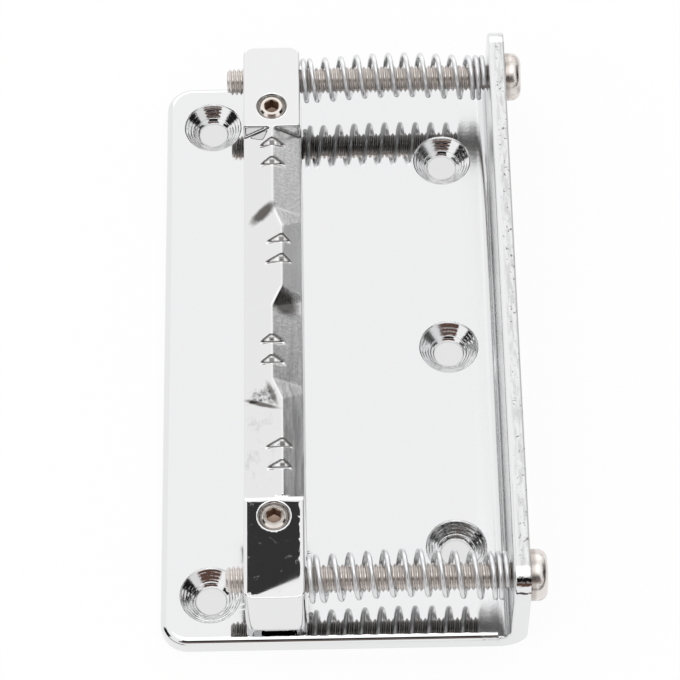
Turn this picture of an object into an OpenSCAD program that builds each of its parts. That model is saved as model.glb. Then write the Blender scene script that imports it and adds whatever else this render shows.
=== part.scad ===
// Mandolin bridge: a bent sheet base with one compensated saddle bar for eight strings.
// The saddle rides on two spring-loaded screws that pass through the rear flange, and
// stands on two height screws. Millimetres. X runs from the front edge to the flange,
// Y runs across the strings, Z is up from the underside of the base.

/* [Base plate] */
// Length of the base across the strings
plate_len = 72; // [71:0.5:80]
// Depth of the base from its front edge to the outside of the flange
plate_depth = 39.2; // [36:0.2:46]
// Thickness of the sheet
sheet_t = 1.8; // [1.6:0.1:2.2]
// Height of the flange from the underside
flange_h = 13.75; // [12.5:0.25:18]
// Radius of the two front corners of the plate
plate_corner_r = 3; // [2:0.25:5]
// Radius of the two top corners of the flange
flange_corner_r = 3; // [2:0.25:5]
// Inside radius of the bend
bend_r = 1.3; // [0.8:0.1:2]
// Radius of the soft edge round the plate's top
plate_edge_r = 0.9; // [0.3:0.1:1.2]
// Radius of the edge round the bend and the flange, on their inner side
flange_edge_r = 0.35; // [0.1:0.05:0.8]

/* [Wood screw holes] */
// Diameter of the holes for the fixing screws
hole_d = 3.2; // [2.8:0.1:3.6]
// Diameter of the countersinks at the top face
sink_d = 6.7; // [6:0.1:7.2]
// Depth of the countersinks
sink_depth = 1.5; // [1:0.1:1.55]
// Distance of the front holes from the front edge
front_hole_in = 5.4; // [5:0.1:6]
// Distance between the two front holes
front_hole_gap = 60.4; // [56:0.2:61]
// Distance of the rear holes from the outside of the flange
rear_hole_in = 7.15; // [7:0.05:9]
// Distance from one rear hole to the next
rear_hole_gap = 25; // [20:0.5:27]

/* [Saddle] */
// Distance of the saddle bar's ends inside the ends of the base
saddle_inset = 1; // [0.5:0.1:1.5]
// Width of the saddle bar
saddle_w = 6.5; // [6:0.1:8]
// Height of the saddle bar
saddle_h = 8.3; // [8:0.1:10]
// Space between the plate and the saddle bar
saddle_lift = 0.9; // [0.9:0.1:2]
// Distance of the saddle's middle from the front edge
saddle_in = 12.5; // [11:0.25:15]
// Radius of the bar's four upright corners
saddle_corner_r = 1; // [0.5:0.1:1.4]
// Radius of the bar's long top edges
saddle_edge_r = 0.3; // [0.1:0.05:0.5]
// How far the belly of the bar stands below its long bottom edges
belly = 0.3; // [0.1:0.05:0.5]
// Length of the full-height block at the far end
far_block = 11; // [10.5:0.25:12]
// Length of the full-height block at the near end
near_block = 12.1; // [11.8:0.1:13]
// Width of the chamfer along the near block's inner top edge
block_chamfer = 0.6; // [0.3:0.1:1]

/* [String crest] */
// Height of the crest above the eaves of its two slopes
eave_drop = 2.3; // [1.8:0.1:2.8]
// Width of the flat along the crest
crest_flat = 0.25; // [0.1:0.05:0.5]
// Crest's distance from the bar's middle at each pair of strings, from near to far
crest_shift = [0.95, -0.15, 1, 0]; // [-1.5:0.05:1.5]
// Place of each step in the crest, in course spacings from the middle of the strings
step_place = [-0.88, 0.03, 0.83]; // [-1:0.01:1]
// Run of each slanted step in the crest
step_run = 2.6; // [1.5:0.1:4]
// Distance from one pair of strings to the next
course_gap = 12.9; // [11.5:0.1:13]
// Distance between the two strings of a pair
pair_gap = 2.6; // [2.2:0.1:3]
// Distance of the strings' middle from the middle of the base
string_shift = 1.3; // [0:0.1:2]
// Width of a string notch at the crest
notch_w = 0.9; // [0.8:0.05:1.1]
// Distance of a notch's bottom from the middle of its width, towards the near end
notch_skew = 0.13; // [0:0.01:0.15]
// Depth of a string notch
notch_depth = 1.05; // [0.6:0.05:1.3]

/* [Intonation screws] */
// Diameter of the two long screws
screw_d = 3; // [2.5:0.1:3.2]
// Distance of the long screws from the ends of the saddle bar
screw_in = 3.2; // [2.9:0.1:3.8]
// Height of the long screws above the saddle's underside
screw_rise = 6.05; // [5.6:0.05:6.2]
// Length of screw that stands out in front of the saddle
screw_out = 1.9; // [0.5:0.1:4]
// Diameter of the pan head
head_d = 5.5; // [5:0.1:6]
// Height of the pan head
head_h = 1.85; // [1.6:0.05:2.4]
// Radius of the pan head's rounded edge
head_edge_r = 1.05; // [0.6:0.05:1.3]
// Length of each arm of the cross recess, tip to tip
recess_len = 3; // [2.4:0.1:3.4]
// Width of each arm of the cross recess
recess_w = 0.7; // [0.5:0.05:0.9]
// Depth of the cross recess
recess_depth = 1.2; // [0.8:0.1:1.4]

/* [Height screws] */
// Diameter of the two height screws
grub_d = 3; // [2.5:0.1:3.2]
// Length of the height screws
grub_len = 9; // [8:0.25:10]
// Width of the hexagon socket across its flats
hex_w = 1.5; // [1.3:0.1:1.6]
// Depth of the hexagon socket
hex_depth = 1.5; // [1:0.1:2.5]
// Distance of the far height screw from the bar's far end
far_grub_in = 8.2; // [8:0.1:8.8]
// Distance of the near height screw from the bar's near end
near_grub_in = 9.6; // [8:0.1:9.8]

/* [Springs] */
// Outside diameter of the springs
spring_d = 5.3; // [4.8:0.1:5.6]
// Diameter of the spring wire
wire_d = 0.6; // [0.4:0.05:0.7]
// Number of open turns
open_turns = 9; // [6:1:10]
// Number of tight turns at the saddle end
saddle_turns = 1; // [1:1:2]
// Number of tight turns at the flange end
flange_turns = 2; // [1:1:3]
// Pitch of the tight turns
tight_pitch = 1.05; // [1.05:0.05:1.2]

/* [Clearances] */
// Space round a screw in its threaded bore
thread_clear = 0.05; // [0.03:0.01:0.1]
// Space round a long screw in the flange, where it can tip a little
tip_clear = 0.15; // [0.1:0.01:0.25]
// Space between the flange and a screw head, for the same reason
head_gap = 0.15; // [0.13:0.01:0.3]
// Space under the tips of the height screws
foot_gap = 0.3; // [0.3:0.05:0.5]
// Space at each end of a spring
seat_gap = 0.05; // [0.02:0.01:0.2]

/* [Hidden] */
$fn = 48;
// Overrun of a cutting shape past the face that it opens
cut = 1;
// Chamfer at the ends of the screws and at the mouths of the threaded bores
screw_chamfer = 0.4;
mouth_chamfer = 0.2;
// Sides of the spring wire and rings in each of its turns
wire_sides = 6;
turn_rings = 8;

// The middle of the whole length from the front edge to the screw heads lies at X = 0
front_x = -(plate_depth + head_gap + head_h) / 2;
bend_out_r = bend_r + sheet_t;
flange_in = plate_depth - sheet_t;
saddle_len = plate_len - 2 * saddle_inset;
screw_y = saddle_len / 2 - screw_in;
saddle_z = sheet_t + saddle_lift;
saddle_top = saddle_z + saddle_h;
far_wall = saddle_len / 2 - far_block;
near_wall = near_block - saddle_len / 2;
screw_z = saddle_z + screw_rise;
saddle_front = saddle_in - saddle_w / 2;
saddle_rear = saddle_in + saddle_w / 2;
far_grub_y = saddle_len / 2 - far_grub_in;
near_grub_y = near_grub_in - saddle_len / 2;
screw_len = plate_depth + head_gap - saddle_front + screw_out;

// Moves a piece from the front edge to the part's own origin
module placed() {
    translate([front_x, 0, 0]) children();
}

// Solid through closed rings of points that all have the same count
module through_rings(rings) {
    count = len(rings[0]);
    last = len(rings) - 1;
    sides = [for (i = [0:last - 1], k = [0:count - 1])
        let (a = i * count + k, b = i * count + (k + 1) % count)
            each [[a, a + count, b], [b, a + count, b + count]]];
    first_cap = [for (k = [1:count - 2]) [0, k, k + 1]];
    last_cap = [for (k = [1:count - 2]) [0, k + 1, k] + [1, 1, 1] * last * count];
    points = [for (ring = rings) each ring];
    polyhedron(points, concat(sides, first_cap, last_cap), convexity = 10);
}

// Base plate

// Strip of sheet beside its edge: the edge is at x = run and its top corner is rounded
module edge_strip(run, edge_r) {
    difference() {
        square([run, sheet_t]);
        translate([run - edge_r, sheet_t - edge_r]) difference() {
            square(edge_r + cut);
            circle(edge_r);
        }
    }
}

// Flat panel with a rounded edge along its front, its sides and its two front corners
module edged_panel(depth, corner_r, edge_r) {
    half = plate_len / 2 - corner_r;
    translate([corner_r, -half, 0]) cube([depth - corner_r, 2 * half, sheet_t]);
    translate([corner_r, -half, 0]) rotate([90, 0, 180])
        linear_extrude(2 * half) edge_strip(corner_r, edge_r);
    for (side = [0, 1]) mirror([0, side, 0]) translate([corner_r, half, 0]) {
        rotate([90, 0, 90]) linear_extrude(depth - corner_r) edge_strip(corner_r, edge_r);
        rotate([0, 0, 90]) rotate_extrude(angle = 90) edge_strip(corner_r, edge_r);
    }
}

// Cross-section of the bend, with rounded corners on its inner side
module bend_section() {
    for (side = [0, 1]) mirror([0, side]) translate([sheet_t, 0]) rotate(90)
        edge_strip(plate_len / 2, flange_edge_r);
}

module sunk_hole(x, y) {
    translate([x, y, -cut]) cylinder(d = hole_d, h = sheet_t + 2 * cut);
    translate([x, y, sheet_t - sink_depth]) cylinder(d1 = hole_d, d2 = sink_d, h = sink_depth);
    translate([x, y, sheet_t]) cylinder(d = sink_d, h = cut);
}

module base_plate() {
    color("gainsboro") placed() difference() {
        union() {
            edged_panel(plate_depth - bend_out_r, plate_corner_r, plate_edge_r);
            translate([plate_depth - bend_out_r, 0, bend_out_r]) rotate([-90, 0, 0])
                rotate_extrude(angle = 90) translate([bend_r, 0]) bend_section();
            translate([plate_depth, 0, flange_h]) rotate([0, 90, 180])
                edged_panel(flange_h - bend_out_r, flange_corner_r, flange_edge_r);
        }
        for (side = [-1, 1]) sunk_hole(front_hole_in, side * front_hole_gap / 2);
        for (step = [-1, 0, 1]) sunk_hole(plate_depth - rear_hole_in, step * rear_hole_gap);
        for (side = [-1, 1]) translate([flange_in - cut, side * screw_y, screw_z])
            rotate([0, 90, 0]) cylinder(d = screw_d + 2 * tip_clear, h = sheet_t + 2 * cut);
    }
}

// Saddle

// Crest's distance from the bar's middle along Y, as a list of [y, shift]
function crest_line() = concat(
    [[near_wall, crest_shift[0]]],
    [for (i = [0:2], end = [0, 1])
        [string_shift + step_place[i] * course_gap + (2 * end - 1) * step_run / 2, crest_shift[i + end]]],
    [[far_wall, crest_shift[3]]]);

// Ring round the waste above one slope at one place: side is -1 in front and 1 behind
function slope_ring(side, y, shift) =
    let (edge = side * saddle_w / 2, top = shift + side * crest_flat / 2,
         slope = eave_drop / (edge - top), out = edge + side * cut,
         ring = [[top, y, saddle_top], [out, y, saddle_top - slope * (out - top)],
                 [out, y, saddle_top + cut], [top, y, saddle_top + cut]])
    side < 0 ? ring : [ring[3], ring[2], ring[1], ring[0]];

module slope_waste(side) {
    through_rings([for (place = crest_line()) slope_ring(side, place[0], place[1])]);
}

// Cross-section of the bar: soft top edges and a belly that stands below the bottom edges
module bar_section() {
    belly_r = (pow(saddle_w / 2, 2) + belly * belly) / (2 * belly);
    half = saddle_w / 2;
    intersection() {
        union() {
            translate([-half, 0]) square([saddle_w, saddle_h - saddle_edge_r]);
            translate([-half + saddle_edge_r, 0]) square([saddle_w - 2 * saddle_edge_r, saddle_h]);
            for (side = [-1, 1]) translate([side * (half - saddle_edge_r), saddle_h - saddle_edge_r])
                circle(saddle_edge_r);
        }
        translate([0, belly_r]) circle(belly_r, $fn = 96);
    }
}

// Plan of the bar with its four rounded corners
module bar_plan() {
    inner_len = saddle_len - 2 * saddle_corner_r;
    inner_w = saddle_w - 2 * saddle_corner_r;
    square([saddle_w, inner_len], center = true);
    square([inner_w, saddle_len], center = true);
    for (x = [-1, 1], y = [-1, 1]) translate([x * inner_w / 2, y * inner_len / 2])
        circle(saddle_corner_r);
}

module string_notch(y) {
    translate([-saddle_w, y, saddle_top]) rotate([90, 0, 90]) linear_extrude(2 * saddle_w)
        polygon([[0, -notch_depth], [notch_w + 2 * notch_skew, notch_depth],
                 [2 * notch_skew - notch_w, notch_depth]]);
}

// Upright bore for a height screw, with a chamfered mouth
module height_bore(y) {
    bore_d = grub_d + 2 * thread_clear;
    translate([0, y, saddle_z - cut]) cylinder(d = bore_d, h = saddle_h + 2 * cut);
    translate([0, y, saddle_top - mouth_chamfer])
        cylinder(d1 = bore_d, d2 = bore_d + 4 * mouth_chamfer, h = 2 * mouth_chamfer);
}

module saddle() {
    color("silver") placed() translate([saddle_in, 0, 0]) difference() {
        intersection() {
            translate([0, saddle_len / 2, saddle_z]) rotate([90, 0, 0])
                linear_extrude(saddle_len) bar_section();
            translate([0, 0, saddle_z - cut]) linear_extrude(saddle_h + 2 * cut) bar_plan();
        }
        for (side = [-1, 1]) slope_waste(side);
        translate([-saddle_w, near_wall, saddle_top]) rotate([90, 0, 90]) linear_extrude(2 * saddle_w)
            polygon([[-block_chamfer, 0], [0, -block_chamfer / 2], [0, cut], [-block_chamfer, cut]]);
        for (course = [-1.5:1.5], side = [-0.5, 0.5])
            string_notch(string_shift + course * course_gap + side * pair_gap);
        for (y = [far_grub_y, near_grub_y]) height_bore(y);
        for (side = [-1, 1]) translate([-saddle_w, side * screw_y, screw_z])
            rotate([0, 90, 0]) cylinder(d = screw_d + 2 * thread_clear, h = 2 * saddle_w);
    }
}

// Screws

module long_screw(side) {
    translate([plate_depth + head_gap, side * screw_y, screw_z]) rotate([0, 90, 0]) {
        difference() {
            rotate_extrude() difference() {
                square([head_d / 2, head_h]);
                translate([head_d / 2 - head_edge_r, head_h - head_edge_r]) difference() {
                    square(head_edge_r + cut);
                    circle(head_edge_r);
                }
            }
            for (turn = [0, 90]) rotate([0, 0, turn])
                translate([-recess_len / 2, -recess_w / 2, head_h - recess_depth])
                    cube([recess_len, recess_w, recess_depth + cut]);
        }
        translate([0, 0, -screw_len + screw_chamfer])
            cylinder(d = screw_d, h = screw_len - screw_chamfer + (head_h - recess_depth) / 2);
        translate([0, 0, -screw_len])
            cylinder(d1 = screw_d - 2 * screw_chamfer, d2 = screw_d, h = screw_chamfer);
    }
}

module height_screw(y) {
    translate([saddle_in, y, sheet_t + foot_gap]) difference() {
        union() {
            cylinder(d1 = grub_d - 2 * screw_chamfer, d2 = grub_d, h = screw_chamfer);
            translate([0, 0, screw_chamfer]) cylinder(d = grub_d, h = grub_len - screw_chamfer);
        }
        translate([0, 0, grub_len - hex_depth])
            cylinder(d = hex_w / cos(30), h = hex_depth + cut, $fn = 6);
    }
}

module far_intonation_screw() {
    color("rosybrown") placed() long_screw(1);
}

module near_intonation_screw() {
    color("rosybrown") placed() long_screw(-1);
}

module far_height_screw() {
    color("tan") placed() height_screw(far_grub_y);
}

module near_height_screw() {
    color("tan") placed() height_screw(near_grub_y);
}

// Springs

// Straight run at each end of the wire, square to the face that it meets
end_run = wire_d;
helix_from = saddle_rear + seat_gap + end_run;
helix_to = flange_in - seat_gap - end_run;
all_turns = saddle_turns + open_turns + flange_turns;
open_pitch = (helix_to - helix_from - (saddle_turns + flange_turns) * tight_pitch) / open_turns;

// Distance along the spring after a number of turns
function turn_x(turn) = helix_from
    + min(turn, saddle_turns) * tight_pitch
    + max(0, min(turn - saddle_turns, open_turns)) * open_pitch
    + max(0, turn - saddle_turns - open_turns) * tight_pitch;

// Middle line of the wire: right-handed, with both ends turned along the screw
function wire_line() =
    let (r = (spring_d - wire_d) / 2,
         helix = [for (i = [0:all_turns * turn_rings])
             let (turn = i / turn_rings) [turn_x(turn), r * cos(360 * turn), r * sin(360 * turn)]])
    concat([[helix_from - end_run, r, 0]], helix, [[helix_to + end_run, r, 0]]);

// Ring of points round the wire at one place on its middle line
function wire_ring(line, i) =
    let (ahead = line[min(i + 1, len(line) - 1)] - line[max(i - 1, 0)],
         along = ahead / norm(ahead),
         out = [0, line[i][1], line[i][2]] / norm([line[i][1], line[i][2]]),
         across = cross(along, out))
    [for (k = [0:wire_sides - 1])
        line[i] + wire_d / 2 * (cos(360 * k / wire_sides) * out + sin(360 * k / wire_sides) * across)];

// Least space between two stretches of the wire that lie most of a turn apart
function least_gap(line) = min([for (i = [0:len(line) - 1], j = [i + 6:1:len(line) - 1])
    norm(line[j] - line[i])]) - wire_d;

module spring(side) {
    line = wire_line();
    echo(str("least gap between the turns of a spring: ", least_gap(line), " mm"));
    translate([0, side * screw_y, screw_z])
        through_rings([for (i = [0:len(line) - 1]) wire_ring(line, i)]);
}

module far_spring() {
    color("lightgray") placed() spring(1);
}

module near_spring() {
    color("lightgray") placed() spring(-1);
}

base_plate();
saddle();
far_intonation_screw();
near_intonation_screw();
far_spring();
near_spring();
far_height_screw();
near_height_screw();
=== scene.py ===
"""Looks of the mandolin bridge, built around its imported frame. Lengths are in metres."""
import math

import bmesh
import bpy
from mathutils import Matrix, Vector, noise


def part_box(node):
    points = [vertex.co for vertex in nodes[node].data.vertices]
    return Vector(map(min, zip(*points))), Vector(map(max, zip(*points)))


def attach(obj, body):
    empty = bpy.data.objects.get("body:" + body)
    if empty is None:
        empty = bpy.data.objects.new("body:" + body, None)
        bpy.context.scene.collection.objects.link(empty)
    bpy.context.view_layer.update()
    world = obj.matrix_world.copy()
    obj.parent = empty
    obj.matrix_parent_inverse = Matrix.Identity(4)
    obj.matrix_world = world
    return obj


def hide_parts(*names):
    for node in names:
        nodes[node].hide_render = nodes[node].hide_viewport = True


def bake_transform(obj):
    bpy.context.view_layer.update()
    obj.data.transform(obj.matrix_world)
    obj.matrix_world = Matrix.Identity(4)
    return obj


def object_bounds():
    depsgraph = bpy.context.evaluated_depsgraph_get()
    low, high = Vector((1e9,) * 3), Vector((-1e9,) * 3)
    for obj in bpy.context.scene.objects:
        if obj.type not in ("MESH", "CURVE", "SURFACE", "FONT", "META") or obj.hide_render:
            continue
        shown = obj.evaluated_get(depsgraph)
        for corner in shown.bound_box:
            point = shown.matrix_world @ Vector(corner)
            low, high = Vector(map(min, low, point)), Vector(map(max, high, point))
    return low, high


MM = 0.001

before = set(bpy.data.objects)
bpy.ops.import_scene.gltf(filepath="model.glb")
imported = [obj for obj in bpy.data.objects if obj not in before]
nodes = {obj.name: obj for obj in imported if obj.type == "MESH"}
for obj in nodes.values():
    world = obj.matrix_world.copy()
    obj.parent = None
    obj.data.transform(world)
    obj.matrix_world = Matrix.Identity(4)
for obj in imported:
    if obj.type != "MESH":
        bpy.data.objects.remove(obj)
cad_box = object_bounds()
scene = bpy.context.scene

# Camera, fitted to the outline, the holes and the screws in the photograph
CAMERA_PLACE = (-0.604 * MM, -170.71 * MM, 301.33 * MM)
CAMERA_AZIMUTH = -0.057
CAMERA_DOWN = 60.156
CAMERA_ROLL = -1.112
FOCAL_PIXELS = 3065.3
PHOTO_PIXELS = 680
SENSOR = 36.0

# Threads and screws
PITCH = 0.5 * MM
THREAD_DEPTH = 0.27 * MM
THREAD_EDGE = 0.02 * MM
THREAD_STEPS = 36
SCREW_R = 1.5 * MM
TIP_R = 1.1 * MM
HEAD_R = 2.75 * MM
HEAD_H = 1.85 * MM
HEAD_EDGE_R = 1.05 * MM
HEAD_EDGE_STEPS = 12
CROSS_DEPTH = 1.2 * MM
CROSS_HALF_LENGTH = 1.55 * MM
CROSS_HALF_WIDTH = 0.37 * MM
KNOCK_DEPTH = 0.06 * MM
KNOCK_ROOM = 0.005 * MM
SET_SCREW_CHAMFER = 0.32 * MM
CAP_LENGTH = 2 * MM
SOCKET_HALF = 0.75 * MM
SOCKET_DEPTH = 1.5 * MM
SOCKET_POINT = 1.75 * MM
MOUTH_R = 1.02 * MM
MOUTH_RISE = 0.1 * MM
MOUTH_DEPTH = 0.07 * MM
MOUTH_FOOT_R = 0.8 * MM

# Springs
WIRE_R = 0.28 * MM
WIRE_SIDES = 16
COIL_STEPS = 40
CLOSED_PITCH = 0.68 * MM
SPRING_TURNS = 13.4
SADDLE_CLOSED = 1.1
FLANGE_CLOSED = 2.1
CLOSED_CHANGE = 0.5
SPRING_BOW = 0.5 * MM
TIP_ROOM = 0.12 * MM
OUTER_ROOM = 0.05 * MM

# Base plate and its countersinks. The holes lie in from the front or rear edge and out from the middle
SHEET = 1.8 * MM
FRONT_HOLES_IN = 5.4 * MM
FRONT_HOLES_OUT = 30.2 * MM
REAR_HOLES_IN = 7.15 * MM
REAR_HOLES_STEP = 25 * MM
HOLE_R = 1.6 * MM
SINK_R = 3.35 * MM
SINK_DEPTH = 1.5 * MM
SINK_STEPS = 56
SINK_SIDES = 96
LIP_R = 0.2 * MM
LIP_STEPS = 5
RING_DEPTH = 0.019 * MM
RINGS = 5.5
RING_PITCH = SINK_DEPTH / RINGS

# Saddle. The courses, and the crest's shifts in mm, run from the near end to the far end
FAR_BLOCK = 11 * MM
NEAR_BLOCK = 12.1 * MM
EAVE_DROP = 2.3 * MM
COURSES = 12.9 * MM
PAIR = 2.6 * MM
STRING_SHIFT = 1.3 * MM
COURSE_Y = [STRING_SHIFT + (number - 1.5) * COURSES for number in range(4)]
CREST_SHIFT = (0.95, -0.15, 1.0, 0.0)
NOTCH_DEPTH = 1.17 * MM
NOTCH_FAR = 0.64 * MM
NOTCH_NEAR = 0.36 * MM
NOTCH_REACH = 5 * MM
GRAIN = 0.11 * MM

# Hollow that the cutter left where the crest steps aside: place from the middle of the bar's top and
# half axes in mm, turn about Z and tilt about the bar's length in degrees
HOLLOW_PLACE = (-1.5, -11.6, -0.1)
HOLLOW_HALF_AXES = (2.6, 0.45, 0.9)
HOLLOW_TURN = 8
HOLLOW_TILT = -33

# Marked places on the saddle: place from the bar's middle and half axes in mm, turn in degrees, softness
# The dull, rough, lip, shoulder and wedge spots carry painted dark reflections and painted shade
SADDLE_SPOTS = {
    "dull": ((-1.0, 12.9, 9.9), (1.55, 0.75, 3.0), 32, 0.4),
    "rough": ((-0.9, -10.5, 9.8), (1.7, 1.0, 3.0), -28, 0.4),
    "lip": ((-1.35, -11.3, 9.8), (2.1, 0.22, 3.0), -28.7, 0.45),
    "shoulder": ((-0.1, -10.5, 9.8), (1.5, 0.27, 3.0), -68.6, 0.45),
    "wedge": ((1.3, 1.2, 10.0), (1.6, 1.5, 3.0), -30, 0.5),
    "smudge": ((-1.6, -16.5, 9.8), (1.8, 4.5, 3.0), 0, 0.5),
}
BORE_MOUTH = (1.9, 1.9, 0.6)

# Colours of the metals, of what stains, tarnishes or lies on them, and of the shade painted on them
PLATE_CHROME = (0.8, 0.803, 0.808)
PLATE_STAIN = (0.24, 0.235, 0.23)
SINK_CHROME = (0.84, 0.842, 0.845)
# Painted shade in the countersinks' rings
SINK_RING_SHADE = (0.1, 0.1, 0.1)
SADDLE_CHROME = (0.8, 0.8, 0.803)
# Tarnish on the saddle, and the painted shade and dark reflections on it
SADDLE_TARNISH_AND_SHADE = (0.1, 0.092, 0.085)
HEAD_NICKEL = (0.78, 0.735, 0.7)
# Stains on the heads, and the painted shade on their rims beside the flange
HEAD_STAIN_AND_SHADE = (0.36, 0.31, 0.28)
THREAD_NICKEL = (0.7, 0.66, 0.63)
# Painted shade on the threads' undersides
THREAD_UNDERSIDE_SHADE = (0.24, 0.23, 0.22)
SET_SCREW_NICKEL = (0.82, 0.76, 0.71)
SOCKET_BROWN = (0.34, 0.25, 0.2)
SPRING_STEEL = (0.77, 0.775, 0.78)
# Painted shade on the springs' undersides
SPRING_UNDERSIDE_SHADE = (0.34, 0.34, 0.34)

# Studio: the white paper under the object, the table beyond it, the light things round it and the card
FLOOR_HALF = 3.0
FLOOR_Z = -0.02 * MM
FLOOR_GLOW = 0.9
# Painted shadow on the paper under the plate
UNDER_PLATE_SHADOW = 0.78
PAPER_REACH = 110 * MM
PAPER_EDGE = 15 * MM
TABLE = (0.06, 0.05, 0.045, 1.0)
CEILING = 1.07
SOFTBOX = 1.8
WINDOW = 1.45
CARD_Z = 150 * MM
CARD_GREY = 0.04

# What else the metal mirrors: bearings from the camera's side, positive to the right, and heights, all in
# degrees, then softness and colour. First the table on two sides, then dark and grey things left and right
# of the object, and last two above the camera's side, one brown and one nearly black
MIRRORED = (
    ((-72, -12), (-30, 8), 3.0, TABLE),
    ((12, 100), (-30, 9), 3.0, TABLE),
    ((-98, -67), (-20, 37), 4.0, (0.015, 0.015, 0.015, 1.0)),
    ((68, 112), (-20, 38), 2.0, (0.015, 0.015, 0.015, 1.0)),
    ((100, 123), (-20, 40), 8.0, (0.2, 0.2, 0.2, 1.0)),
    ((-36, 36), (27.5, 42), 2.0, (0.11, 0.062, 0.047, 1.0)),
    ((-30, 30), (43, 63), 2.0, (0.012, 0.01, 0.01, 1.0)),
)

# Meshes: the distances under which two points are one, the degrees under which two faces are one plane,
# and the sides of what is turned
WELD = 0.002 * MM
FINE_WELD = 0.0004 * MM
FLAT_ANGLE = 0.6
LATHE_SIDES = 64


def link(obj):
    scene.collection.objects.link(obj)
    return obj


def mesh_object(name, verts, faces):
    mesh = bpy.data.meshes.new(name)
    mesh.from_pydata(verts, [], faces)
    mesh.update()
    return link(bpy.data.objects.new(name, mesh))


def weld(obj, distance=WELD):
    """Joins points that coincide, closes what is open and turns all faces outwards."""
    bm = bmesh.new()
    bm.from_mesh(obj.data)
    bmesh.ops.remove_doubles(bm, verts=bm.verts, dist=distance)
    bmesh.ops.dissolve_degenerate(bm, edges=bm.edges, dist=distance)
    open_edges = [e for e in bm.edges if e.is_boundary]
    if open_edges:
        bmesh.ops.holes_fill(bm, edges=open_edges, sides=0)
    bmesh.ops.recalc_face_normals(bm, faces=bm.faces)
    bm.to_mesh(obj.data)
    bm.free()
    return obj


def between(value, low, high, soft):
    """1 from low to high and 0 outside, with a change as wide as soft centred on each."""
    rise = min(max((value - low) / soft + 0.5, 0.0), 1.0)
    return rise * min(max((high - value) / soft + 0.5, 0.0), 1.0)


def shade(obj, angle):
    """Smooth shading, with a sharp edge wherever faces meet at more than angle."""
    obj.data.shade_smooth()
    obj.data.set_sharp_from_angle(angle=math.radians(angle))


# Shader helpers

class Shader:
    """A node tree with short calls for the nodes that the materials use."""

    def __init__(self, tree):
        self.tree = tree
        self.tree.nodes.clear()

    def node(self, kind, **values):
        made = self.tree.nodes.new(kind)
        for name, value in values.items():
            if name in made.inputs.keys():
                made.inputs[name].default_value = value
            else:
                setattr(made, name, value)
        return made

    def link(self, source, target):
        self.tree.links.new(source, target)

    def output(self, source, kind="ShaderNodeOutputMaterial"):
        self.link(source, self.node(kind).inputs["Surface"])

    def parts(self, vector):
        """The X, Y and Z of a vector."""
        axes = self.node("ShaderNodeSeparateXYZ")
        self.link(vector, axes.inputs[0])
        return [axes.outputs[i] for i in range(3)]

    def math(self, operation, a, b=0.0, c=0.0, clamp=False):
        made = self.tree.nodes.new("ShaderNodeMath")
        made.operation = operation
        made.use_clamp = clamp
        for i, value in enumerate((a, b, c)):
            if isinstance(value, (int, float)):
                made.inputs[i].default_value = value
            else:
                self.link(value, made.inputs[i])
        return made.outputs[0]

    def times(self, *values):
        """The product of all values."""
        result = values[0]
        for value in values[1:]:
            result = self.math("MULTIPLY", result, value)
        return result

    def largest(self, *values):
        """The largest of all values."""
        result = values[0]
        for value in values[1:]:
            result = self.math("MAXIMUM", result, value)
        return result

    def ramp(self, value, low, high, to_low=0.0, to_high=1.0):
        made = self.tree.nodes.new("ShaderNodeMapRange")
        made.interpolation_type = "SMOOTHSTEP"
        made.inputs["From Min"].default_value = low
        made.inputs["From Max"].default_value = high
        made.inputs["To Min"].default_value = to_low
        made.inputs["To Max"].default_value = to_high
        self.link(value, made.inputs["Value"])
        return made.outputs["Result"]

    def fall(self, value, low, high):
        return self.ramp(value, low, high, 1.0, 0.0)

    def within(self, value, low, high, soft):
        """1 from low to high and 0 outside, with a change of soft to either side of each."""
        rise = self.ramp(value, low - soft, low + soft)
        return self.times(rise, self.fall(value, high - soft, high + soft))

    def mix(self, fac, a, b):
        made = self.tree.nodes.new("ShaderNodeMix")
        made.data_type = "RGBA"
        for value, name in ((fac, "Factor"), (a, "A"), (b, "B")):
            target = made.inputs[name]
            if isinstance(value, (float, tuple)):
                target.default_value = value
            else:
                self.link(value, target)
        return made.outputs["Result"]

    def noise(self, vector, scale, detail=4.0, rough=0.6):
        made = self.node("ShaderNodeTexNoise", Scale=scale, Detail=detail, Roughness=rough)
        self.link(vector, made.inputs["Vector"])
        return made.outputs["Fac"]


def grey(value):
    return (value, value, value, 1.0)


def new_material(name):
    material = bpy.data.materials.new(name)
    material.use_nodes = True
    return material


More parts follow.
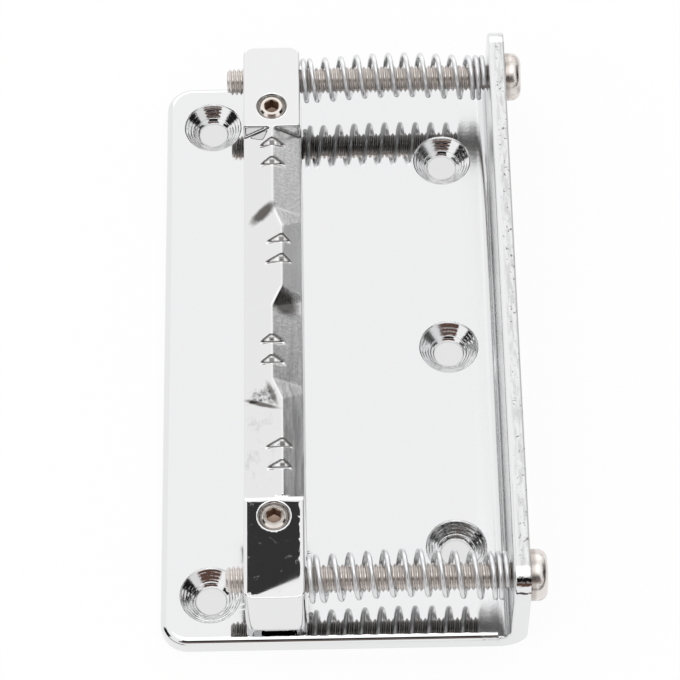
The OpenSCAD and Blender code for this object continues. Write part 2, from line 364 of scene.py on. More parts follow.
class Metal(Shader):
    """Metal with uneven gloss. Its colour, gloss and bumps may change from place to place."""

    def __init__(self, name):
        self.material = new_material(name)
        super().__init__(self.material.node_tree)
        self.place = self.node("ShaderNodeTexCoord").outputs["Object"]
        self.surface = self.node("ShaderNodeBsdfPrincipled", Metallic=1.0)
        self.output(self.surface.outputs["BSDF"])
        self.x, self.y, self.z = self.parts(self.place)
        facing = self.node("ShaderNodeNewGeometry").outputs["Normal"]
        self.to_x, self.to_y, self.to_z = self.parts(facing)

    def stretched(self, scale, detail=4.0):
        """Noise with its own scale along each axis."""
        stretch = self.node("ShaderNodeMapping", Scale=scale)
        self.link(self.place, stretch.inputs["Vector"])
        return self.noise(stretch.outputs[0], 1.0, detail)

    def speckle(self, scale, detail, low, high):
        """Noise that is 0 below low and 1 above high."""
        return self.ramp(self.noise(self.place, scale, detail), low, high)

    def color(self, color, other=None, share=None):
        """One colour, or a mixture with share of another."""
        target = self.surface.inputs["Base Color"]
        if share is None:
            target.default_value = (*color, 1.0)
        else:
            self.link(self.mix(share, (*color, 1.0), (*other, 1.0)), target)

    def gloss(self, low, high, extra=0.0, share=None):
        """Roughness that wanders from low to high, with extra where share is 1."""
        rough = self.ramp(self.noise(self.place, 260.0, 4.0), 0.3, 0.7, low, high)
        if share is not None:
            rough = self.math("ADD", rough, self.times(share, extra))
        self.link(rough, self.surface.inputs["Roughness"])

    def bumps(self, *bumps):
        """Surface noise. Each bump is (scale, detail, height, share); share is None where it is all over."""
        normal = None
        for scale, detail, height, share in bumps:
            bump = self.node("ShaderNodeBump", Distance=height)
            scales = scale if isinstance(scale, tuple) else (scale, scale, scale)
            self.link(self.stretched(scales, detail), bump.inputs["Height"])
            if share is not None:
                self.link(share, bump.inputs["Strength"])
            if normal is not None:
                self.link(normal, bump.inputs["Normal"])
            normal = bump.outputs["Normal"]
        self.link(normal, self.surface.inputs["Normal"])

    def spot(self, middle, half_axes, turn, soft):
        """1 inside a ragged oval, turned about Z, and 0 outside it; its place and half axes are in mm."""
        mapping = self.node("ShaderNodeMapping", vector_type="TEXTURE")
        mapping.inputs["Location"].default_value = Vector(middle) * MM
        mapping.inputs["Rotation"].default_value = (0, 0, math.radians(turn))
        mapping.inputs["Scale"].default_value = Vector(half_axes) * MM
        self.link(self.place, mapping.inputs["Vector"])
        length = self.node("ShaderNodeVectorMath", operation="LENGTH")
        self.link(mapping.outputs[0], length.inputs[0])
        wander = self.times(self.noise(self.place, 1500.0, 3.0), 0.5)
        ragged = self.math("ADD", length.outputs["Value"], wander)
        return self.fall(ragged, 1.25 - soft, 1.25 + soft)


def plate_metal():
    """Chrome, rough round the bend and on the flange's inner face, stained and pitted on its top edge."""
    made = Metal("plate_chrome")
    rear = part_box("base_plate")[1].x
    flange = rear - SHEET
    bend = made.within(made.x, flange - 3.2 * MM, flange - 0.6 * MM, 0.5 * MM)
    faces_front = made.fall(made.to_x, -0.3, -0.15)
    inner = made.times(made.ramp(made.x, flange - 0.8 * MM, flange - 0.4 * MM), faces_front)
    worn = made.largest(bend, inner)
    faces_up = made.ramp(made.to_z, 0.8, 0.95)
    top = made.times(made.ramp(made.x, flange + 0.4 * MM, flange + 0.9 * MM), faces_up)
    faces_near = made.fall(made.to_y, -0.2, -0.1)
    upper = made.ramp(made.z, 6 * MM, 8 * MM)
    corner = made.times(made.ramp(made.x, flange + 0.1 * MM, flange + 0.3 * MM), upper, faces_near)
    streaked = made.ramp(made.stretched((3000.0, 500.0, 3000.0)), 0.42, 0.62)
    pitted = made.speckle(2300.0, 3.0, 0.6, 0.68)
    edge = made.ramp(made.x, rear - 0.22 * MM, rear - 0.12 * MM)
    stain = made.largest(made.times(streaked, 0.3), pitted, made.times(edge, 0.6))
    made.color(PLATE_CHROME, PLATE_STAIN, made.times(stain, top))
    made.gloss(0.02, 0.04, 0.16, worn)
    made.bumps((60.0, 2.0, 0.0015 * MM, None), (3500.0, 3.0, 0.012 * MM, worn),
               (2600.0, 5.0, 0.02 * MM, top), (1500.0, 3.0, 0.03 * MM, corner))
    return made.material


def sink_metal():
    """The countersinks' own chrome: turned, with chatter marks and painted shade in the cutter's rings."""
    made = Metal("sink_chrome")
    wave = made.math("SINE", made.times(made.z, 2 * math.pi / RING_PITCH))
    ring = made.ramp(wave, -0.1, 0.7)
    patchy = made.speckle(900.0, 3.0, 0.38, 0.62)
    off_far_wall = made.ramp(made.to_y, -0.5, -0.1)
    # Painted shade in the cutter's rings, on all walls but the far one
    made.color(SINK_CHROME, SINK_RING_SHADE, made.times(ring, patchy, off_far_wall, 0.85))
    made.gloss(0.03, 0.07)
    made.bumps((1500.0, 4.0, 0.013 * MM, None), (5000.0, 2.0, 0.004 * MM, None))
    return made.material


def notch_marks(made, middle, top, far_end):
    """Painted dark reflections on the notch edges and painted shade in the notches and the hollows beside the
    far block, as (mark, share).
    """
    course = made.math("WRAP", made.y, COURSE_Y[2] + COURSES / 2, COURSE_Y[2] - COURSES / 2)
    off_course = made.math("ABSOLUTE", made.math("SUBTRACT", course, COURSE_Y[2]))
    notches = made.fall(off_course, 2.3 * MM, 2.6 * MM)
    wings = made.within(made.y, far_end - 3 * MM, far_end + 0.4 * MM, 0.1 * MM)
    cut = made.times(made.largest(notches, wings), made.ramp(made.z, top - 3 * MM, top - 2.8 * MM))
    # Painted dark reflection on the rounded edges of the notches and hollows
    notch_edge_reflection = made.times(cut, made.within(made.to_y, -0.8, -0.25, 0.07))
    wall = made.fall(made.to_y, -0.85, -0.75)
    rear_half = made.ramp(made.x, (middle + 0.4) * MM, (middle + 0.7) * MM)
    # Painted shade in the rear half of the hollows beside the far block
    rear_wing = made.times(wall, wings, rear_half, made.speckle(800.0, 3.0, 0.35, 0.6))
    marks = [(notch_edge_reflection, 0.9), (rear_wing, 0.6)]
    # Painted shade down in each notch
    in_notch = made.times(wall, made.within(made.z, top - 0.95 * MM, top - 0.35 * MM, 0.08 * MM))
    for course_y, shift in zip(COURSE_Y, CREST_SHIFT):
        ridge = (middle + shift) * MM
        along = made.within(made.y, course_y - PAIR, course_y + PAIR, 0.1 * MM)
        across = made.within(made.x, ridge - 0.28 * MM, ridge + 0.28 * MM, 0.1 * MM)
        marks.append((made.times(in_notch, made.times(along, across)), 0.85))
    return marks


def bore_marks(made, middle, top):
    """Painted shade on the chamfers round the two height screws, as (mark, share)."""
    chamfer = made.fall(made.to_z, 0.85, 0.97)
    marks = []
    for node in ("far_height_screw", "near_height_screw"):
        low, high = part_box(node)
        # Painted shade on the chamfer round this bore
        mouth = made.spot((middle, (low.y + high.y) / 2 / MM, top / MM), BORE_MOUTH, 0, 0.1)
        marks.append((made.times(mouth, chamfer), 0.8))
    return marks


def saddle_metal():
    """Chrome on a cast bar: tarnished rear slopes with painted shade, dull and rough places where the crest
    steps with painted dark reflections and shade, dust on its top, and painted shade and dark reflections at
    the notches and bores."""
    made = Metal("saddle_chrome")
    low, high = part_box("saddle")
    middle = (low.x + high.x) / 2 / MM
    near_end, far_end = low.y + NEAR_BLOCK, high.y - FAR_BLOCK
    spots = {}
    for name, (place, half_axes, turn, soft) in SADDLE_SPOTS.items():
        spots[name] = made.spot((middle + place[0], *place[1:]), half_axes, turn, soft)
    # Painted dark reflections where the crest steps: the dull spot, and the rough, lip and shoulder spots
    # round the hollow
    dull, rough = spots["dull"], spots["rough"]
    rear = made.times(made.ramp(made.to_x, 0.25, 0.45), made.within(made.y, near_end, far_end, 0.1 * MM))
    # Painted shade on the concave step that faces the rear
    wedge = made.times(spots["wedge"], made.ramp(made.to_x, 0.2, 0.35))
    # Dark specks in the rough spot, part of its painted dark reflection
    specks = made.times(rough, made.speckle(1700.0, 4.0, 0.48, 0.66))
    smudge = made.times(spots["smudge"], made.speckle(700.0, 5.0, 0.5, 0.75))
    streaked = made.ramp(made.stretched((1600.0, 170.0, 1600.0)), 0.35, 0.65, 0.5, 1.4)
    # The rear slopes' darkening, by the way they face and stronger towards the near end, is tarnish and
    # painted shade
    tarnish_and_shade = made.times(rear, streaked, made.ramp(made.y, -15 * MM, 3 * MM, 0.42, 0.1))
    marks = [(specks, 0.6), (smudge, 0.3), (spots["lip"], 0.95), (spots["shoulder"], 0.8)]
    marks += notch_marks(made, middle, high.z, far_end) + bore_marks(made, middle, high.z)
    dark = made.largest(dull, wedge, tarnish_and_shade, *(made.times(mark, share) for mark, share in marks))
    made.color(SADDLE_CHROME, SADDLE_TARNISH_AND_SHADE, made.times(dark, 0.95))
    dust = made.times(made.speckle(1300.0, 3.0, 0.6, 0.72), made.ramp(made.to_z, 0.97, 0.99))
    worn = made.largest(rear, dull, rough, made.times(dust, 0.3))
    made.gloss(0.01, 0.025, 0.2, worn)
    made.bumps((120.0, 2.0, 0.0015 * MM, None), (2600.0, 4.0, 0.02 * MM, rear),
               ((1800.0, 260.0, 1800.0), 3.0, 0.03 * MM, rear), (2200.0, 3.0, 0.025 * MM, rough))
    return made.material


def plain_metal(name, color, rough, scale, height, underside_shade=None):
    """Metal of one kind all over. A last colour, where given, is painted shade on what faces down."""
    made = Metal(name)
    if underside_shade is None:
        made.color(color)
    else:
        # Painted shade on what faces down
        made.color(color, underside_shade, made.fall(made.to_z, -0.6, 0.1))
    made.gloss(*rough)
    made.bumps((scale, 4.0, height, None))
    return made.material


def head_metal():
    """Soft nickel-plated heads with stains, and painted shade on the rim beside the flange."""
    made = Metal("head_nickel")
    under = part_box("far_intonation_screw")[1].x - HEAD_H
    # Painted shade on the rim beside the flange
    rim = made.fall(made.x, under + 0.35 * MM, under + 0.75 * MM)
    stain = made.speckle(520.0, 5.0, 0.52, 0.68)
    made.color(HEAD_NICKEL, HEAD_STAIN_AND_SHADE, made.largest(made.times(rim, 0.6), made.times(stain, 0.75)))
    made.gloss(0.17, 0.3)
    made.bumps((900.0, 3.0, 0.03 * MM, None))
    return made.material


plate_chrome = plate_metal()
sink_chrome = sink_metal()
saddle_chrome = saddle_metal()
head_nickel = head_metal()
thread_nickel = plain_metal("thread_nickel", THREAD_NICKEL, (0.28, 0.36), 3000.0, 0.003 * MM, THREAD_UNDERSIDE_SHADE)
set_screw_nickel = plain_metal("set_screw_nickel", SET_SCREW_NICKEL, (0.1, 0.2), 900.0, 0.012 * MM)
socket_dark = plain_metal("socket_dark", SOCKET_BROWN, (0.3, 0.4), 3000.0, 0.003 * MM)
spring_steel = plain_metal("spring_steel", SPRING_STEEL, (0.28, 0.38), 3000.0, 0.002 * MM, SPRING_UNDERSIDE_SHADE)


def dress(obj, material, body):
    obj.data.materials.clear()
    obj.data.materials.append(material)
    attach(obj, body)


# Copies of CAD meshes

def copy_of(node, name):
    obj = link(bpy.data.objects.new(name, nodes[node].data.copy()))
    weld(obj)
    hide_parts(node)
    return obj


def flatten_faces(obj):
    """Merges the faces that lie in one plane."""
    bm = bmesh.new()
    bm.from_mesh(obj.data)
    bmesh.ops.dissolve_limit(bm, angle_limit=math.radians(FLAT_ANGLE), verts=bm.verts, edges=bm.edges)
    bm.to_mesh(obj.data)
    bm.free()


def soften(obj, width, angle):
    """Rounds the edges that are sharper than angle."""
    bevel = obj.modifiers.new("soft edges", "BEVEL")
    bevel.width = width
    bevel.segments = 2
    bevel.limit_method = "ANGLE"
    bevel.angle_limit = math.radians(angle)
    bevel.use_clamp_overlap = True
    weighted = obj.modifiers.new("even shading", "WEIGHTED_NORMAL")
    weighted.keep_sharp = True
    weighted.weight = 80


# Changes of a mesh that are kept

def bake(obj, kind, **values):
    """Adds a modifier, applies it and keeps the mesh."""
    modifier = obj.modifiers.new(kind.lower(), kind)
    for name, value in values.items():
        setattr(modifier, name, value)
    baked = bpy.data.meshes.new_from_object(obj.evaluated_get(bpy.context.evaluated_depsgraph_get()))
    obj.modifiers.remove(modifier)
    obj.data = baked


def boolean(obj, tool, operation="DIFFERENCE"):
    bake(obj, "BOOLEAN", operation=operation, solver="EXACT", object=tool)
    bpy.data.objects.remove(tool)
    return obj


def weigh(obj, name, share):
    """Makes a vertex group with the share that a function gives each point."""
    group = obj.vertex_groups.new(name=name)
    for vertex in obj.data.vertices:
        group.add([vertex.index], share(vertex.co), "REPLACE")
    return name


def stand(obj, place):
    """Turns a mesh that was made along X upright, with its start at place."""
    obj.data.transform(Matrix.Translation(place) @ Matrix.Rotation(-math.pi / 2, 4, "Y"))


# Screws

def thread_mesh(name, start, end, radius, tip_r, place):
    """Right-handed thread along X from start to end; the end at start has a chamfer down to tip_r. The
    profile is a list of (share of a turn, height)."""
    profile = [(0.0, -THREAD_DEPTH), (0.14, -THREAD_DEPTH), (0.46, -THREAD_EDGE), (0.5, 0.0),
               (0.6, 0.0), (0.64, -THREAD_EDGE), (0.96, -THREAD_DEPTH)]
    turns = math.ceil((end - start) / PITCH) + 2
    verts = []
    for i in range(THREAD_STEPS):
        angle = 2 * math.pi * i / THREAD_STEPS
        for turn in range(turns):
            for phase, depth in profile:
                x = start + (turn + phase - 1 + i / THREAD_STEPS) * PITCH
                x = min(max(x, start), end)
                r = min(radius + depth, tip_r + (x - start))
                verts.append((x, place[0] + r * math.cos(angle), place[1] + r * math.sin(angle)))
    row = turns * len(profile)
    faces = []
    for i in range(THREAD_STEPS):
        following = (i + 1) % THREAD_STEPS
        shift = len(profile) if following == 0 else 0
        for j in range(row - 1 - shift):
            a, b = i * row + j, following * row + j + shift
            faces.append((a, a + 1, b + 1, b))
    return weld(mesh_object(name, verts, faces), FINE_WELD)


def lathe(name, profile, place, sides=LATHE_SIDES):
    """Turns a list of (x, r) about the line along X through place."""
    verts = []
    for i in range(sides):
        angle = 2 * math.pi * i / sides
        for x, r in profile:
            verts.append((x, place[0] + r * math.cos(angle), place[1] + r * math.sin(angle)))
    count = len(profile)
    faces = []
    for i in range(sides):
        here, following = i * count, (i + 1) % sides * count
        for j in range(count - 1):
            faces.append((here + j, here + j + 1, following + j + 1, following + j))
    return weld(mesh_object(name, verts, faces), FINE_WELD)


def cross_tool(x_top, place):
    """Cross recess whose four arms taper towards the bottom."""
    ends = ((x_top + 0.3 * MM, CROSS_HALF_LENGTH * 1.08, CROSS_HALF_WIDTH * 1.05),
            (x_top - CROSS_DEPTH, CROSS_HALF_LENGTH * 0.42, CROSS_HALF_WIDTH * 0.75))
    tool = None
    for upright in (False, True):
        verts = []
        for x, length, width in ends:
            for sy, sz in ((1, 1), (-1, 1), (-1, -1), (1, -1)):
                y, z = (sy * width, sz * length) if upright else (sy * length, sz * width)
                verts.append((x, place[0] + y, place[1] + z))
        faces = [(3, 2, 1, 0), (4, 5, 6, 7), (0, 1, 5, 4), (1, 2, 6, 5), (2, 3, 7, 6), (3, 0, 4, 7)]
        arm = weld(mesh_object("cross", verts, faces))
        tool = arm if tool is None else boolean(tool, arm, "UNION")
    return tool


def dent(obj):
    """Knocks that a screwdriver and a vice leave on a soft screw head. None stands out past its top."""
    top = max(vertex.co.x for vertex in obj.data.vertices)
    for vertex in obj.data.vertices:
        knock = max(noise.noise(vertex.co / MM * 0.9 + Vector((3, 1, 2))), 0.0)
        vertex.co -= vertex.normal * KNOCK_DEPTH * knock
        vertex.co.x = min(vertex.co.x, top - KNOCK_ROOM)


def long_screw(side):
    node = side + "_intonation_screw"
    low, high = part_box(node)
    place = ((low.y + high.y) / 2, (low.z + high.z) / 2)
    under = high.x - HEAD_H
    shank = thread_mesh(node + "_thread", low.x, under + 0.2 * MM, SCREW_R, TIP_R, place)
    shade(shank, 50)
    profile = [(under, 0.0), (under, HEAD_R - 0.08 * MM), (under + 0.03 * MM, HEAD_R - 0.02 * MM),
               (under + 0.09 * MM, HEAD_R)]
    for i in range(HEAD_EDGE_STEPS + 1):
        angle = math.radians(90 * i / HEAD_EDGE_STEPS)
        profile.append((high.x - HEAD_EDGE_R + HEAD_EDGE_R * math.sin(angle),
                        HEAD_R - HEAD_EDGE_R + HEAD_EDGE_R * math.cos(angle)))
    profile.append((high.x, 0.0))
    head = lathe(node + "_head", profile, place)
    boolean(head, cross_tool(high.x, place))
    dent(head)
    shade(head, 40)
    soften(head, 0.05 * MM, 40)
    dress(shank, thread_nickel, node)
    dress(head, head_nickel, node)
    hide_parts(node)


def darken_socket(obj, middle, top):
    """Gives the faces inside the hexagon socket the dull dark metal that a drive leaves there."""
    obj.data.materials.append(socket_dark)
    for face in obj.data.polygons:
        out = math.hypot(face.center.x - middle.x, face.center.y - middle.y)
        if out < 0.9 * MM and face.center.z < top - 0.01 * MM:
            face.material_index = 1


def socket_tool(top):
    """Hexagon along X that opens at top and ends in the point that the drill left."""
    corner = SOCKET_HALF / math.cos(math.pi / 6)
    hexagon = []
    for k in range(6):
        angle = math.radians(60 * k)
        hexagon.append((corner * math.cos(angle), corner * math.sin(angle)))
    verts = [(top + 0.3 * MM, y, z) for y, z in hexagon]
    verts += [(top - SOCKET_DEPTH, y, z) for y, z in hexagon]
    verts.append((top - SOCKET_POINT, 0, 0))
    faces = [(5, 4, 3, 2, 1, 0)]
    faces += [(k, (k + 1) % 6, 6 + (k + 1) % 6, 6 + k) for k in range(6)]
    faces += [(6 + k, 6 + (k + 1) % 6, 12) for k in range(6)]
    return weld(mesh_object("hexagon", verts, faces))


def height_screw(side):
    """Thread and a smooth cap over its upper end, both made along X from 0 and then stood upright."""
    node = side + "_height_screw"
    low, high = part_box(node)
    middle = (low + high) / 2
    length = high.z - low.z
    shoulder = length - SET_SCREW_CHAMFER
    core = SCREW_R - THREAD_DEPTH
    shank = thread_mesh(node + "_thread", 0, shoulder, SCREW_R, TIP_R, (0, 0))
    cap = lathe(node + "_cap", [(length - CAP_LENGTH, 0.0), (length - CAP_LENGTH, core),
                                (shoulder - 0.02 * MM, core), (shoulder, SCREW_R - 0.02 * MM),
                                (length, SCREW_R - SET_SCREW_CHAMFER), (length, 0.0)], (0, 0))
    mouth = lathe("mouth", [(length + MOUTH_RISE, 0.0), (length + MOUTH_RISE, MOUTH_R),
                            (length - MOUTH_DEPTH, MOUTH_FOOT_R), (length - MOUTH_DEPTH, 0.0)], (0, 0))
    boolean(cap, mouth)
    for obj in (shank, cap):
        boolean(obj, socket_tool(length))
        stand(obj, (middle.x, middle.y, low.z))
        shade(obj, 30)
        dress(obj, set_screw_nickel, node)
        darken_socket(obj, middle, high.z)
    soften(cap, 0.03 * MM, 30)
    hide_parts(node)


# Springs

def spring(side):
    """Wire with closed turns at both ends, which bows a little between them."""
    node = side + "_spring"
    low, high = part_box(node)
    screw_low, screw_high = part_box(side + "_intonation_screw")
    place = ((screw_low.y + screw_high.y) / 2, (screw_low.z + screw_high.z) / 2)
    radius = (high.z - low.z) / 2 - WIRE_R - OUTER_ROOM
    length = high.x - low.x
    count = round(SPRING_TURNS * COIL_STEPS)
    looseness = [between((i + 0.5) / COIL_STEPS, SADDLE_CLOSED, SPRING_TURNS - FLANGE_CLOSED, CLOSED_CHANGE)
                 for i in range(count + 1)]
    loose = sum(looseness[:count]) / COIL_STEPS
    run = length - TIP_ROOM - 2 * WIRE_R - SPRING_TURNS * CLOSED_PITCH
    verts, faces = [], []
    x = low.x + WIRE_R
    for i in range(count + 1):
        angle = 2 * math.pi * i / COIL_STEPS
        out = Vector((0, math.cos(angle), math.sin(angle)))
        bow = SPRING_BOW * math.sin(math.pi * (x - low.x) / length) ** 2
        centre = Vector((x, place[0] + 0.87 * bow, place[1] + 0.5 * bow)) + out * radius
        for k in range(WIRE_SIDES):
            around = 2 * math.pi * k / WIRE_SIDES
            verts.append(centre + WIRE_R * (math.cos(around) * out + math.sin(around) * Vector((1, 0, 0))))
        x += (CLOSED_PITCH + looseness[i] * run / loose) / COIL_STEPS
    for i in range(count):
        for k in range(WIRE_SIDES):
            a, b = i * WIRE_SIDES + k, i * WIRE_SIDES + (k + 1) % WIRE_SIDES
            faces.append((a, b, b + WIRE_SIDES, a + WIRE_SIDES))
    faces.append(tuple(range(WIRE_SIDES)))
    faces.append(tuple(count * WIRE_SIDES + k for k in range(WIRE_SIDES)))
    obj = mesh_object(node + "_wire", verts, faces)
    weld(obj)
    shade(obj, 50)
    obj.data.materials.append(spring_steel)
    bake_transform(obj)
    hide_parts(node)


# Base plate and saddle

def sink_profile():
    """A countersink with the cutter's rings, from its foot to above the plate, as a list of (z, r)."""
    foot = SHEET - SINK_DEPTH
    slope = (SINK_R - HOLE_R) / SINK_DEPTH
    points = [(foot - 0.2 * MM, 0.0), (foot - 0.2 * MM, HOLE_R - 0.1 * MM)]
    for i in range(SINK_STEPS + 1):
        share = i / SINK_STEPS
        wave = abs(share * RINGS % 1.0 - 0.5) * 2 + 1.6 * between(share, 0.2, 0.27, 0.05)
        z = foot + share * (SINK_DEPTH - 0.08 * MM)
        points.append((z, HOLE_R + 0.03 * MM + (z - foot) * slope + RING_DEPTH * wave))
    last_z, last_r = points[-1]
    for k in range(1, LIP_STEPS + 1):
        angle = math.radians(41 + 40 * k / LIP_STEPS)
        rise = math.sin(math.radians(131)) - math.sin(math.radians(90) + angle)
        out = math.cos(math.radians(49)) - math.cos(angle)
        points.append((last_z + LIP_R * rise, last_r + LIP_R * out))
    above = SHEET + 0.4 * MM
    points.append((above, points[-1][1] + 0.4 * MM))
    points.append((above, 0.0))
    return points


def cut_sinks(obj):
    """Cuts each countersink again, with its rings and its rounded lip, and returns their places."""
    low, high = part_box("base_plate")
    places = [(low.x + FRONT_HOLES_IN, side * FRONT_HOLES_OUT) for side in (-1, 1)]
    places += [(high.x - REAR_HOLES_IN, step * REAR_HOLES_STEP) for step in (-1, 0, 1)]
    for x, y in places:
        tool = lathe("sink", sink_profile(), (0, 0), SINK_SIDES)
        stand(tool, (x, y, 0))
        boolean(obj, tool)
    return places


def paint_sinks(obj, places):
    """Gives the countersinks' faces their own chrome."""
    obj.data.materials.append(sink_chrome)
    for face in obj.data.polygons:
        out = min(math.hypot(face.center.x - x, face.center.y - y) for x, y in places)
        if face.center.z < SHEET - 0.03 * MM and out < SINK_R + 0.1 * MM:
            face.material_index = 1


def plate_finish():
    obj = copy_of("base_plate", "base_plate_finish")
    places = cut_sinks(obj)
    flatten_faces(obj)
    shade(obj, 35)
    soften(obj, 0.04 * MM, 60)
    dress(obj, plate_chrome, "base")
    paint_sinks(obj, places)


def notch_tool(middle, y):
    """Notch of one string, cut a little past the solid's own, since rounding narrows it again."""
    section = [(0, -NOTCH_DEPTH), (2 * NOTCH_FAR, NOTCH_DEPTH), (-2 * NOTCH_NEAR, NOTCH_DEPTH)]
    verts = []
    for end in (-NOTCH_REACH, NOTCH_REACH):
        verts += [(middle.x + end, y + across, middle.z + up) for across, up in section]
    faces = [(0, 1, 2), (5, 4, 3), (0, 3, 4, 1), (1, 4, 5, 2), (2, 5, 3, 0)]
    return weld(mesh_object("notch", verts, faces))


def hollow_tool(middle):
    """Ellipsoid that cuts the hollow."""
    bm = bmesh.new()
    bmesh.ops.create_uvsphere(bm, u_segments=48, v_segments=24, radius=1.0)
    tool = mesh_object("hollow", [], [])
    bm.to_mesh(tool.data)
    bm.free()
    tilted = Matrix.Rotation(math.radians(HOLLOW_TILT), 4, "Y")
    turned = Matrix.Rotation(math.radians(HOLLOW_TURN), 4, "Z")
    sized = Matrix.Diagonal((*(v * MM for v in HOLLOW_HALF_AXES), 1.0))
    moved = Matrix.Translation(middle + Vector(HOLLOW_PLACE) * MM)
    tool.data.transform(moved @ (tilted @ turned) @ sized)
    return tool


def roughen(obj, middle, share_at):
    """Lumps in the cast metal beside the hollow."""
    for vertex in obj.data.vertices:
        away = vertex.co - middle
        share = math.exp(-(away.x / MM / 1.5) ** 2 - (away.y / MM / 1.1) ** 2) * share_at(vertex.co)
        if share > 0.02:
            lump = noise.noise(vertex.co / MM * 1.6) + 0.5 * noise.noise(vertex.co / MM * 4.0)
            vertex.co.z -= 0.04 * MM * share * (lump + 0.25)


def saddle_finish():
    """The bar with the rounded edges of a cast and plated piece, sharper on its two blocks."""
    low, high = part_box("saddle")
    middle = Vector(((low.x + high.x) / 2, 0, high.z))
    obj = copy_of("saddle", "saddle_finish")
    boolean(obj, hollow_tool(middle))
    for course_y in COURSE_Y:
        for half in (-0.5, 0.5):
            boolean(obj, notch_tool(middle, course_y + half * PAIR))
    bake(obj, "REMESH", mode="VOXEL", voxel_size=GRAIN, adaptivity=0.0)
    bake(obj, "SMOOTH", factor=0.5, iterations=2)

    def on_crest(place):
        across = between(place.y, low.y + NEAR_BLOCK - 0.3 * MM, high.y - FAR_BLOCK + 0.2 * MM, 0.2 * MM)
        return across * between(place.z, high.z - EAVE_DROP - 0.2 * MM, 1.0, 0.3 * MM)

    group = weigh(obj, "crest", on_crest)
    bake(obj, "SMOOTH", factor=0.5, iterations=9, vertex_group=group)
    roughen(obj, middle + Vector((-1.2, -10.4, -0.8)) * MM, on_crest)
    obj.vertex_groups.clear()
    bake(obj, "DECIMATE", decimate_type="COLLAPSE", ratio=0.2)
    obj.data.shade_smooth()
    obj.modifiers.new("even shading", "WEIGHTED_NORMAL").weight = 80
    dress(obj, saddle_chrome, "saddle")


# Camera

def camera():
    azimuth, down, roll = (math.radians(v) for v in (CAMERA_AZIMUTH, CAMERA_DOWN, CAMERA_ROLL))
    level = math.cos(down)
    forward = Vector((math.sin(azimuth) * level, math.cos(azimuth) * level, -math.sin(down)))
    right = Vector((math.cos(azimuth), -math.sin(azimuth), 0))
    up = right.cross(forward)
    turned_right = math.cos(roll) * right + math.sin(roll) * up
    turned_up = -math.sin(roll) * right + math.cos(roll) * up
    data = bpy.data.cameras.new("photo_camera")
    data.sensor_width = SENSOR
    data.lens = FOCAL_PIXELS / PHOTO_PIXELS * SENSOR
    data.clip_start = 0.01
    obj = link(bpy.data.objects.new("photo_camera", data))
    axes = Matrix((turned_right, turned_up, -forward)).transposed()
    obj.matrix_world = Matrix.Translation(CAMERA_PLACE) @ axes.to_4x4()
    scene.camera = obj


# Studio: a pale floor, a white surround and what the metal mirrors besides it

def seen_ray(sh):
    path = sh.node("ShaderNodeLightPath")
    total = sh.math("ADD", path.outputs["Is Camera Ray"], path.outputs["Is Glossy Ray"])
    return sh.math("ADD", total, path.outputs["Is Transmission Ray"], clamp=True)


def floor():
    """White paper. What mirrors it sees it end in front and at the right, as a small sheet on a dark table
    does. Under the plate it carries a painted shadow."""
    verts = [(x * FLOOR_HALF, y * FLOOR_HALF, FLOOR_Z) for x, y in ((-1, -1), (1, -1), (1, 1), (-1, 1))]
    obj = mesh_object("floor", verts, [(0, 1, 2, 3)])
    material = new_material("floor")
    sh = Shader(material.node_tree)
    path = sh.node("ShaderNodeLightPath")
    x, y = sh.parts(sh.node("ShaderNodeTexCoord").outputs["Object"])[:2]
    reach = sh.largest(x, sh.times(y, -1.0))
    beyond = sh.ramp(reach, PAPER_REACH, PAPER_REACH + PAPER_EDGE)
    mirrored = sh.times(beyond, path.outputs["Is Glossy Ray"])
    pale = sh.node("ShaderNodeBsdfDiffuse")
    sh.link(sh.mix(seen_ray(sh), grey(0.85), grey(1.0)), pale.inputs["Color"])
    inside_x = sh.math("SUBTRACT", cad_box[1][0] - 3 * MM, sh.math("ABSOLUTE", x))
    inside_y = sh.math("SUBTRACT", cad_box[1][1] - 1 * MM, sh.math("ABSOLUTE", y))
    inside = sh.math("MINIMUM", inside_y, inside_x)
    # Painted shadow under the plate
    paper = sh.mix(sh.ramp(inside, 0.0, 1 * MM), grey(1.0), grey(UNDER_PLATE_SHADOW))
    white = sh.node("ShaderNodeEmission", Strength=1.0)
    sh.link(sh.mix(mirrored, paper, TABLE), white.inputs["Color"])
    surface = sh.node("ShaderNodeMixShader")
    sh.link(sh.largest(sh.times(seen_ray(sh), FLOOR_GLOW), mirrored), surface.inputs["Fac"])
    sh.link(pale.outputs[0], surface.inputs[1])
    sh.link(white.outputs[0], surface.inputs[2])
    sh.output(surface.outputs[0])
    obj.data.materials.append(material)


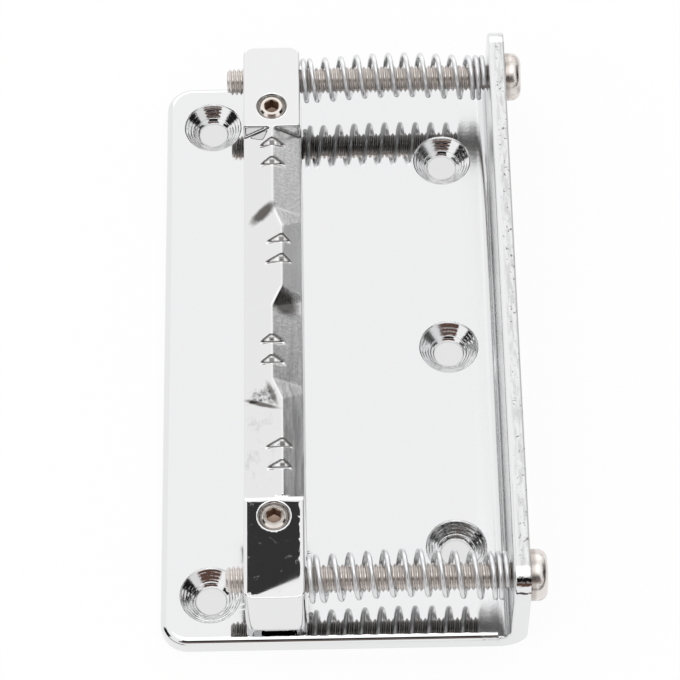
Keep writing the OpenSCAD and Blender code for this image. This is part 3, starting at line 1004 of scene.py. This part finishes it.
def surround():
    """White world; reflections also show the dark and brown things that stand round the table."""
    world = bpy.data.worlds.new("studio")
    scene.world = world
    world.use_nodes = True
    sh = Shader(world.node_tree)
    x, y, z = sh.parts(sh.node("ShaderNodeTexCoord").outputs["Generated"])
    to_degrees = 180 / math.pi
    height = sh.times(sh.math("ARCSINE", z), to_degrees)
    bearing = sh.times(sh.math("ARCTAN2", x, sh.times(y, -1.0)), to_degrees)
    color = sh.mix(sh.ramp(height, 45.0, 52.0), grey(1.0), grey(CEILING))
    color = sh.mix(sh.ramp(height, 68.0, 72.0), color, grey(SOFTBOX))
    beyond = sh.ramp(sh.math("ABSOLUTE", bearing), 138.0, 150.0)
    color = sh.mix(sh.times(beyond, sh.within(height, 8, 47, 4.0)), color, grey(WINDOW))
    for bearings, heights, soft, patch_color in MIRRORED:
        patch = sh.times(sh.within(bearing, *bearings, soft), sh.within(height, *heights, soft))
        color = sh.mix(patch, color, patch_color)
    path = sh.node("ShaderNodeLightPath")
    color = sh.mix(path.outputs["Is Glossy Ray"], grey(1.0), color)
    background = sh.node("ShaderNodeBackground", Strength=1.0)
    sh.link(color, background.inputs["Color"])
    sh.output(background.outputs[0], "ShaderNodeOutputWorld")


def flag():
    """Black card that darkens the near block's top in the camera's eye, of the kind that a studio hangs over
    bright metal. Its outline is that of the dark part, seen from the camera's mirror image."""
    low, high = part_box("saddle")
    eye = Vector((CAMERA_PLACE[0], CAMERA_PLACE[1], 2 * high.z - CAMERA_PLACE[2]))
    front, far_y = low.x - 0.5 * MM, low.y + NEAR_BLOCK
    corners = [(front, low.y + 0.3 * MM), (low.x + 1.3 * MM, low.y + 0.35 * MM),
               (high.x, low.y + 2.6 * MM), (high.x, far_y), (front, far_y)]
    reach = (CARD_Z - eye.z) / (high.z - eye.z)
    verts = [eye + (Vector((x, y, high.z)) - eye) * reach for x, y in corners]
    obj = mesh_object("flag", verts, [tuple(range(len(verts)))])
    material = new_material("flag")
    sh = Shader(material.node_tree)
    sh.output(sh.node("ShaderNodeEmission", Color=grey(CARD_GREY), Strength=1.0).outputs[0])
    obj.data.materials.append(material)
    obj.visible_camera = False
    obj.visible_diffuse = False
    obj.visible_shadow = False
    obj.visible_transmission = False


for side in ("far", "near"):
    long_screw(side)
    height_screw(side)
    spring(side)
plate_finish()
saddle_finish()
camera()
floor()
surround()
flag()
scene.view_settings.view_transform = "Standard"
